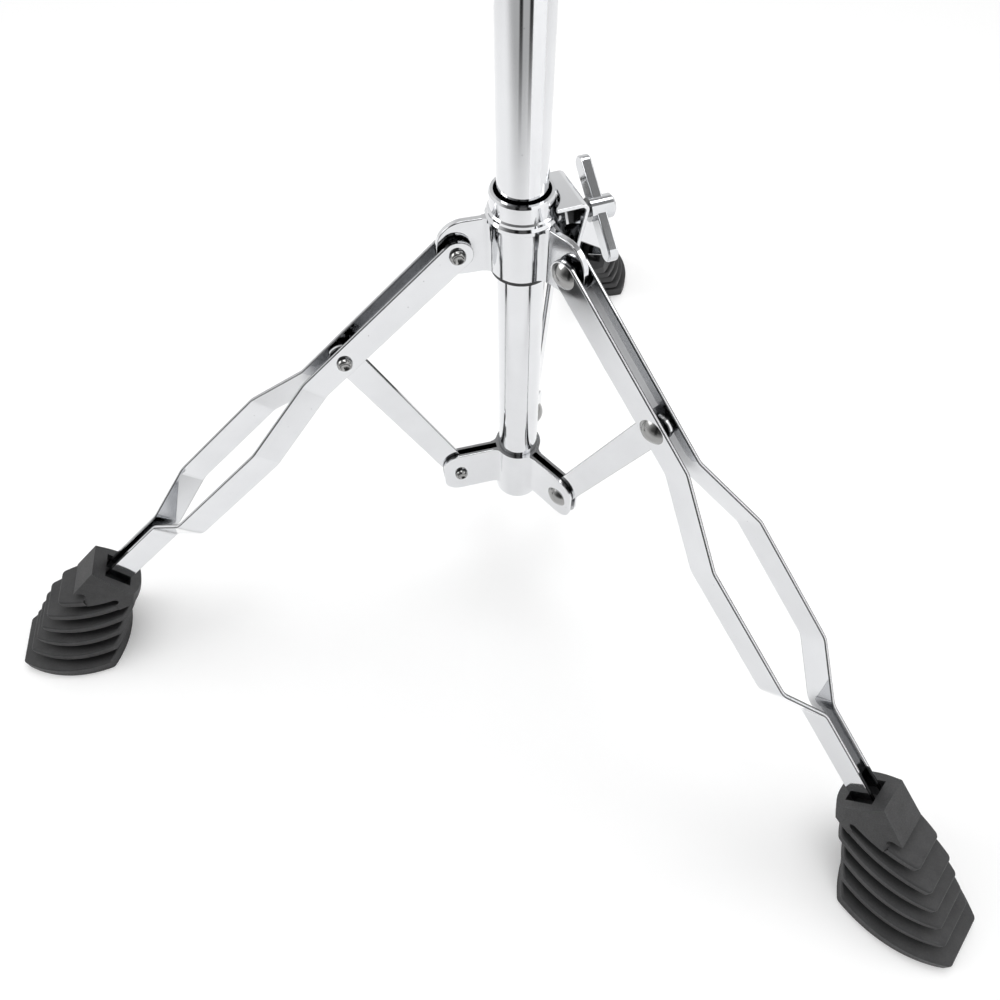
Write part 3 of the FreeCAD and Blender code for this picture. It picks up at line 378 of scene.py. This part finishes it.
# %% Build the thread's node tree
HELIX_STEPS = 28
RIDGE_SIDES = 4
tree = bpy.data.node_groups.new("rolled_thread", "GeometryNodeTree")
tree.interface.new_socket("Geometry", in_out="OUTPUT", socket_type="NodeSocketGeometry")
for label in ("Radius", "Length", "Pitch", "Ridge"):
    tree.interface.new_socket(label, in_out="INPUT", socket_type="NodeSocketFloat")
sizes = add(tree, "NodeGroupInput").outputs
turns = add(tree, "ShaderNodeMath", {0: sizes["Length"], 1: sizes["Pitch"]}, operation="DIVIDE")
helix = add(
    tree, "GeometryNodeCurveSpiral",
    {
        "Resolution": HELIX_STEPS, "Rotations": turns.outputs[0], "Start Radius": sizes["Radius"],
        "End Radius": sizes["Radius"], "Height": sizes["Length"],
    },
)
upright = add(tree, "GeometryNodeSetCurveNormal", {"Curve": helix.outputs[0]}, mode="Z_UP")
profile = add(
    tree, "GeometryNodeCurvePrimitiveCircle", {"Resolution": RIDGE_SIDES, "Radius": sizes["Ridge"]},
)
swept = add(
    tree, "GeometryNodeCurveToMesh",
    {"Curve": upright.outputs[0], "Profile Curve": profile.outputs[0], "Fill Caps": True},
)
whole = add(tree, "GeometryNodeRealizeInstances", {"Geometry": swept.outputs[0]})
plated = add(tree, "GeometryNodeSetMaterial", {"Geometry": whole.outputs[0], "Material": STRIP_CHROME})
add(tree, "NodeGroupOutput", {"Geometry": plated.outputs[0]})
THREAD_TREE = tree
SOCKETS = {row.name: row.identifier for row in tree.interface.items_tree if row.in_out == "INPUT"}
print("thread tree with inputs", sorted(SOCKETS))

# %% Make a thread on a shank
PITCH = 1.0
RIDGE = 0.42


def thread(name, body, radius, start, end):
    """A thread from start to end in mm, riding on a body."""
    start, end = Vector(start), Vector(end)
    piece = bpy.data.objects.new(name, bpy.data.meshes.new(name))
    scene.collection.objects.link(piece)
    maker = piece.modifiers.new("thread", "NODES")
    maker.node_group = THREAD_TREE
    sizes = {"Radius": radius, "Length": (end - start).length, "Pitch": PITCH, "Ridge": RIDGE}
    for label, size in sizes.items():
        maker[SOCKETS[label]] = size * MM
    drawn = piece.evaluated_get(bpy.context.evaluated_depsgraph_get())
    mesh = bpy.data.meshes.new_from_object(drawn)
    piece.modifiers.remove(maker)
    piece.data = mesh
    stand = (end - start).to_track_quat("Z", "Y").to_matrix().to_4x4()
    mesh.transform(Matrix.Translation(start * MM) @ stand)
    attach(piece, body)
    return len(mesh.polygons)


print("thread pitch", PITCH, "mm")

# %% Cut a thread on every shank that shows
# A span is where bare shank shows, in mm: out from the tube's axis for the two screws, and up the stem.
SCREW_R = 3.0
STEM_R = 5.0
HUB_SCREW_AZIMUTH = 36.0
HUB_SCREW_Z = 274.5
HUB_SCREW_SPAN = (26.6, 31.0)
TILTER_Z = 485.0
TILTER_BOLT_SPAN = (20.6, 21.7)
STEM_LOW_SPAN = (526.6, 530.4)
STEM_HIGH_SPAN = (553.6, 564.4)


def turned(azimuth, along, aside, height):
    """A point given along and aside from a direction round the tube, in mm."""
    return Matrix.Rotation(math.radians(azimuth), 3, "Z") @ Vector((along, aside, height))


hub_screw = [turned(HUB_SCREW_AZIMUTH, along, 0, HUB_SCREW_Z) for along in HUB_SCREW_SPAN]
tilter_bolt = [(0, aside, TILTER_Z) for aside in TILTER_BOLT_SPAN]
stem_low, stem_high = [[(0, 0, height) for height in span] for span in (STEM_LOW_SPAN, STEM_HIGH_SPAN)]
THREADS = (
    ("hub_screw_thread", "hub_wing_screw", SCREW_R, *hub_screw),
    ("tilter_bolt_thread", "post", SCREW_R, *tilter_bolt),
    ("stem_thread_low", "basket", STEM_R, *stem_low),
    ("stem_thread_high", "basket", STEM_R, *stem_high),
)
print("threads", {name: thread(name, *rest) for name, *rest in THREADS})

# %% [markdown]
# ## Formed rivets
# The legs turn on semi-tubular rivets: a wide polished dome on one side, and on the other the rivet's tube
# rolled outwards into a lip round its hole. The CAD rivets are plain, so these stand for them. Nine could be
# modelled one by one, but it is shorter to spin one profile for each thickness of metal and let a small node
# tree set copies on the pivots of each body, and then all of them are alike.

# %% Spin one rivet
# A grip is half the thickness that a rivet holds. The tail's points are radius and height above the metal,
# from its foot over the lip to the middle of its hole.
LEG_GRIP = 5.4
BRACKET_GRIP = 3.5
HEAD_R = 6.5
HEAD_H = 2.9
HEAD_STEPS = 12
SHANK_R = 2.5
TAIL = ((3.2, 0.0), (3.7, 0.6), (3.4, 1.875), (2.8, 2.5), (2.5, 2.5), (2.1, 2.0), (1.47, 1.5), (0.0, 1.2))
SPIN_STEPS = 48
MERGE = 0.001
CREASE = math.radians(40)


def rivet_profile(grip):
    """Half the rivet's section as radius and distance along it in mm, from the dome to the hole."""
    ball = (HEAD_R**2 + HEAD_H**2) / (2 * HEAD_H)
    widest = math.asin(HEAD_R / ball)
    turns = [widest * i / HEAD_STEPS for i in range(HEAD_STEPS + 1)]
    dome = [(ball * math.sin(t), -grip - HEAD_H + ball * (1 - math.cos(t))) for t in turns]
    return dome + [(SHANK_R, -grip), (SHANK_R, grip)] + [(radius, grip + height) for radius, height in TAIL]


def rivet_form(name, grip):
    """A rivet along the Y axis as a plain object, to be copied by the node tree."""
    work = bmesh.new()
    spots = [work.verts.new((radius * MM, along * MM, 0)) for radius, along in rivet_profile(grip)]
    line = [work.edges.new(pair) for pair in zip(spots, spots[1:])]
    bmesh.ops.spin(
        work, geom=spots + line, cent=(0, 0, 0), axis=(0, 1, 0), angle=2 * math.pi, steps=SPIN_STEPS,
    )
    bmesh.ops.remove_doubles(work, verts=work.verts, dist=MERGE * MM)
    bmesh.ops.recalc_face_normals(work, faces=work.faces)
    mesh = bpy.data.meshes.new(name)
    work.to_mesh(mesh)
    work.free()
    mesh.shade_smooth()
    mesh.set_sharp_from_angle(angle=CREASE)
    return bpy.data.objects.new(name, mesh)


LEG_RIVET = rivet_form("leg_rivet_form", LEG_GRIP)
BRACKET_RIVET = rivet_form("bracket_rivet_form", BRACKET_GRIP)
print("rivet of", len(LEG_RIVET.data.polygons), "faces")

# %% Build the rivets' node tree
tree = bpy.data.node_groups.new("rivets_on_pivots", "GeometryNodeTree")
tree.interface.new_socket("Geometry", in_out="OUTPUT", socket_type="NodeSocketGeometry")
tree.interface.new_socket("Pivots", in_out="INPUT", socket_type="NodeSocketGeometry")
tree.interface.new_socket("Rivet", in_out="INPUT", socket_type="NodeSocketObject")
given = add(tree, "NodeGroupInput").outputs
form = add(tree, "GeometryNodeObjectInfo", {"Object": given["Rivet"]})
way = add(tree, "GeometryNodeInputNamedAttribute", {"Name": "turn"}, data_type="FLOAT_VECTOR")
copies = add(
    tree, "GeometryNodeInstanceOnPoints",
    {"Points": given["Pivots"], "Instance": form.outputs["Geometry"], "Rotation": way.outputs[0]},
)
whole = add(tree, "GeometryNodeRealizeInstances", {"Geometry": copies.outputs[0]})
plated = add(tree, "GeometryNodeSetMaterial", {"Geometry": whole.outputs[0], "Material": RIVET_PAINTED_DARK})
add(tree, "NodeGroupOutput", {"Geometry": plated.outputs[0]})
RIVET_TREE = tree
RIVET_SOCKET = next(row.identifier for row in tree.interface.items_tree if row.name == "Rivet")
print("rivet tree with", len(tree.nodes), "nodes")

# %% Set rivets on the pivots
# Each pivot is its distance from the tube's axis and its height in mm, as in the CAD model.
HUB_PIVOT = (30.0, 267.0)
MIDDLE_PIVOT = (87.2, 212.7)
BRACKET_PIVOT = (35.8, 97.1)


def set_rivets(name, body, plain, form, places):
    """Copies of a rivet at (azimuth, radius, height) in degrees and mm, in place of a node's plain ones."""
    mesh = bpy.data.meshes.new(name)
    spots = [turned(azimuth, radius, 0, height) * MM for azimuth, radius, height in places]
    mesh.from_pydata(spots, [], [])
    turns = mesh.attributes.new("turn", "FLOAT_VECTOR", "POINT")
    for row, (azimuth, radius, height) in zip(turns.data, places):
        row.vector = (0, 0, math.radians(azimuth))
    piece = bpy.data.objects.new(name, mesh)
    scene.collection.objects.link(piece)
    maker = piece.modifiers.new("rivets", "NODES")
    maker.node_group = RIVET_TREE
    maker[RIVET_SOCKET] = form
    drawn = piece.evaluated_get(bpy.context.evaluated_depsgraph_get())
    piece.data = bpy.data.meshes.new_from_object(drawn)
    piece.modifiers.remove(maker)
    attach(piece, body)
    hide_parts(plain)
    return len(piece.data.polygons)


for leg, azimuth in LEG_AZIMUTHS.items():
    body = leg + "_leg"
    pivots = [(azimuth, *pivot) for pivot in (HUB_PIVOT, MIDDLE_PIVOT)]
    faces = set_rivets(body + "_formed_rivets", body, body + "_rivets", LEG_RIVET, pivots)
    print(leg, "rivet faces", faces)
pivots = [(azimuth, *BRACKET_PIVOT) for azimuth in LEG_AZIMUTHS.values()]
faces = set_rivets("bracket_formed_rivets", "base", "bracket_rivets", BRACKET_RIVET, pivots)
print("bracket rivet faces", faces)
for form in (LEG_RIVET, BRACKET_RIVET):
    bpy.data.objects.remove(form)

# %% [markdown]
# ## Floor
# The photograph has a white surround, and the metal shows where that surround ends: the tube turns grey
# towards its middle because the white paper stops in front of it. So the floor is a sheet that fades out
# on every side, nearest at its front and right. It keeps the stand's soft shadow, and a little glow on
# camera and mirror rays carries its lit parts to white.

# %% Lay the floor
# Sizes are in metres. The sheet lies just under the soles, so that the two never share a plane.
FLOOR_SIDE = 1.6
FLOOR_FRONT = -0.8
FLOOR_BACK = 2.6
FLOOR_DROP = 0.2 * MM
corners = [
    (-FLOOR_SIDE, FLOOR_FRONT, -FLOOR_DROP), (FLOOR_SIDE, FLOOR_FRONT, -FLOOR_DROP),
    (FLOOR_SIDE, FLOOR_BACK, -FLOOR_DROP), (-FLOOR_SIDE, FLOOR_BACK, -FLOOR_DROP),
]
mesh = bpy.data.meshes.new("studio_floor")
mesh.from_pydata(corners, [], [(0, 1, 2, 3)])
floor = bpy.data.objects.new("studio_floor", mesh)
scene.collection.objects.link(floor)
print("floor", 2 * FLOOR_SIDE, "by", round(FLOOR_BACK - FLOOR_FRONT, 3), "m")

# %% Paper the floor
# Each fade is an axis, where the paper is gone, and where it is whole, in metres.
FLOOR_GLOW = 0.15
FADES = {
    "front": ("Y", -0.75, -0.25),
    "back": ("Y", 1.5, 0.5),
    "left": ("X", -1.3, -0.5),
    "right": ("X", 1.1, 0.45),
}
PAPER = "#f4f4f4"
PAPER_ROUGHNESS = 0.9
paper, tree, shader, place = start_material("white_paper_floor")
path = add(tree, "ShaderNodeLightPath")
seen = path.outputs["Is Camera Ray"]
for ray in ("Is Glossy Ray", "Is Transmission Ray"):
    seen = add(tree, "ShaderNodeMath", {0: seen, 1: path.outputs[ray]}, operation="MAXIMUM").outputs[0]
glow = add(tree, "ShaderNodeMath", {0: seen, 1: FLOOR_GLOW}, operation="MULTIPLY")
spot = add(tree, "ShaderNodeSeparateXYZ", {0: place})
cover = 1.0
for axis, gone, full in FADES.values():
    fade = add(
        tree, "ShaderNodeMapRange",
        {"Value": spot.outputs[axis], "From Min": gone, "From Max": full}, interpolation_type="SMOOTHSTEP",
    )
    cover = add(
        tree, "ShaderNodeMath", {0: cover, 1: fade.outputs["Result"]}, operation="MULTIPLY",
    ).outputs[0]
shader.inputs["Base Color"].default_value = linear(PAPER)
shader.inputs["Roughness"].default_value = PAPER_ROUGHNESS
shader.inputs["Specular IOR Level"].default_value = 0.0
shader.inputs["Emission Color"].default_value = linear("#ffffff")
tree.links.new(glow.outputs[0], shader.inputs["Emission Strength"])
tree.links.new(cover, shader.inputs["Alpha"])
floor.data.materials.append(paper)
print("floor fades to the", *FADES)

# %% [markdown]
# ## Flags and a card
# Photographers of shiny goods stand narrow strips of black velvet round them, because a white room alone
# leaves chrome with no lines. Two of them draw the dark pair of lines down the tube, and a white card beside
# them draws the bright band to the right of the pair. All are seen by mirrors only. A mask on the flags' UV
# map softens their sides and lets them fade out above the floor.

# %% Make the velvet and the card
# The flags' spans are shares of their width, from the middle, and of their height, from the foot.
VELVET = "#101010"
FLAG_DENSITY = 0.96
FLAG_SIDES = (0.5, 0.15)
FLAG_RISE = (0.0, 0.2)
CARD_GLOW = 0.4
velvet, tree, shader, place = start_material("black_velvet_flag")
shader.inputs["Base Color"].default_value = linear(VELVET)
shader.inputs["Roughness"].default_value = 1.0
shader.inputs["Specular IOR Level"].default_value = 0.0
spot = add(tree, "ShaderNodeSeparateXYZ", {0: add(tree, "ShaderNodeTexCoord").outputs["UV"]})
off = add(tree, "ShaderNodeMath", {0: spot.outputs["X"], 1: 0.5}, operation="SUBTRACT")
off = add(tree, "ShaderNodeMath", {0: off.outputs[0]}, operation="ABSOLUTE")
sides = add(
    tree, "ShaderNodeMapRange",
    {"Value": off.outputs[0], "From Min": FLAG_SIDES[0], "From Max": FLAG_SIDES[1]},
    interpolation_type="SMOOTHSTEP",
)
rise = add(
    tree, "ShaderNodeMapRange",
    {
        "Value": spot.outputs["Y"], "From Min": FLAG_RISE[0], "From Max": FLAG_RISE[1],
        "To Max": FLAG_DENSITY,
    },
    interpolation_type="SMOOTHSTEP",
)
cover = add(
    tree, "ShaderNodeMath",
    {0: sides.outputs["Result"], 1: rise.outputs["Result"]}, operation="MULTIPLY",
)
tree.links.new(cover.outputs[0], shader.inputs["Alpha"])
card_paper, tree, shader, place = start_material("white_card")
shader.inputs["Base Color"].default_value = linear(PAPER)
shader.inputs["Specular IOR Level"].default_value = 0.0
shader.inputs["Emission Color"].default_value = linear("#ffffff")
shader.inputs["Emission Strength"].default_value = CARD_GLOW
print("sheets of", velvet.name, "and", card_paper.name)

# %% Stand the flags and the card
# Each sheet is its name, azimuth in degrees, distance, width and height in metres.
FLAGS = (
    ("front_flag_left", -90.0, 0.46, 0.15, 1.0),
    ("front_flag_right", -54.0, 0.46, 0.15, 1.0),
)
CARD = ("front_card", -20.0, 0.36, 0.36, 0.7)


def stand_sheet(name, azimuth, away, width, top, material):
    """An upright sheet that faces the stand and shows in mirrors only, in metres."""
    turn = Matrix.Rotation(math.radians(azimuth), 4, "Z")
    square = ((0, 0), (1, 0), (1, 1), (0, 1))
    mesh = bpy.data.meshes.new(name)
    spots = [turn @ Vector((away, (u - 0.5) * width, v * top)) for u, v in square]
    mesh.from_pydata(spots, [], [(0, 1, 2, 3)])
    mask = mesh.uv_layers.new(name="mask")
    for loop, corner in zip(mask.data, square):
        loop.uv = corner
    mesh.materials.append(material)
    sheet = bpy.data.objects.new(name, mesh)
    sheet.visible_camera = sheet.visible_diffuse = sheet.visible_shadow = False
    scene.collection.objects.link(sheet)


for row in FLAGS:
    stand_sheet(*row, velvet)
stand_sheet(*CARD, card_paper)
print("flags", len(FLAGS), "and one card")

# %% [markdown]
# ## Room and lamps
# To the camera the sky is plain white. To mirrors it is a white cove with a grey ceiling, and it darkens
# towards the unlit end of the room, in front of the stand, most of all above the horizon. That gives the
# strips and the rounded pieces something dark to mirror. Three soft boxes light the stand at a plain level,
# so a colour renders about as it is written.

# %% Paint the room
# A span is where a change of level starts and ends, on the gaze's height or on its share of the unlit end.
UNLIT_END = (0.17, -0.985, 0.0)
UNLIT_SPAN = (-0.3, 0.05)
UNLIT_LEVELS = (0.5, 0.1)
COVE_SPAN = (0.2, 0.8)
COVE_LEVEL = 0.92
CEILING_SPAN = (0.45, 0.85)
CEILING_SHARE = 0.3
FILL_LEVEL = 0.5
WHITE_LEVEL = 1.0
world = bpy.data.worlds.new("white_cove")
world.use_nodes = True
scene.world = world
tree = world.node_tree
tree.nodes.clear()
gaze = add(tree, "ShaderNodeTexCoord").outputs["Generated"]
height = add(tree, "ShaderNodeSeparateXYZ", {0: gaze})
unlit = add(
    tree, "ShaderNodeMapRange",
    {
        "Value": height.outputs["Z"], "From Min": UNLIT_SPAN[0], "From Max": UNLIT_SPAN[1],
        "To Min": UNLIT_LEVELS[0], "To Max": UNLIT_LEVELS[1],
    },
    interpolation_type="SMOOTHSTEP",
)
way = add(tree, "ShaderNodeVectorMath", {0: gaze, 1: UNLIT_END}, operation="DOT_PRODUCT")
cove = add(
    tree, "ShaderNodeMapRange",
    {
        "Value": way.outputs["Value"], "From Min": COVE_SPAN[0], "From Max": COVE_SPAN[1],
        "To Min": COVE_LEVEL, "To Max": unlit.outputs["Result"],
    },
    interpolation_type="SMOOTHSTEP",
)
ceiling = add(
    tree, "ShaderNodeMapRange",
    {
        "Value": height.outputs["Z"], "From Min": CEILING_SPAN[0], "From Max": CEILING_SPAN[1],
        "To Min": 1.0, "To Max": CEILING_SHARE,
    },
    interpolation_type="SMOOTHSTEP",
)
room = add(
    tree, "ShaderNodeMath",
    {0: cove.outputs["Result"], 1: ceiling.outputs["Result"]}, operation="MULTIPLY",
)
rays = add(tree, "ShaderNodeLightPath").outputs
sky = add(tree, "ShaderNodeMix", {"Factor": rays["Is Glossy Ray"], "A": FILL_LEVEL, "B": room.outputs[0]})
sky = add(tree, "ShaderNodeMix", {"Factor": rays["Is Camera Ray"], "A": sky.outputs[0], "B": WHITE_LEVEL})
light = add(tree, "ShaderNodeBackground", {"Color": linear("#ffffff"), "Strength": sky.outputs[0]})
add(tree, "ShaderNodeOutputWorld", {"Surface": light.outputs[0]})
print("room of", len(tree.nodes), "nodes")

# %% Hang the lamps
# Each lamp is its name, place and width in metres, and power in watts.
LAMPS = (
    ("top_softbox", (0.0, 0.3, 1.9), 1.2, 16.0),
    ("left_softbox", (-1.6, -0.5, 1.2), 1.0, 9.0),
    ("right_softbox", (1.5, 0.4, 1.1), 0.9, 5.0),
)
AIM = Vector((0, 0, 0.2))
for name, spot, size, power in LAMPS:
    lamp = bpy.data.lights.new(name, "AREA")
    lamp.shape = "SQUARE"
    lamp.size = size
    lamp.energy = power
    holder = bpy.data.objects.new(name, lamp)
    turn = (AIM - Vector(spot)).to_track_quat("-Z", "Y").to_matrix().to_4x4()
    holder.matrix_world = Matrix.Translation(spot) @ turn
    scene.collection.objects.link(holder)
scene.view_settings.view_transform = "Standard"
print("lamps", len(LAMPS))
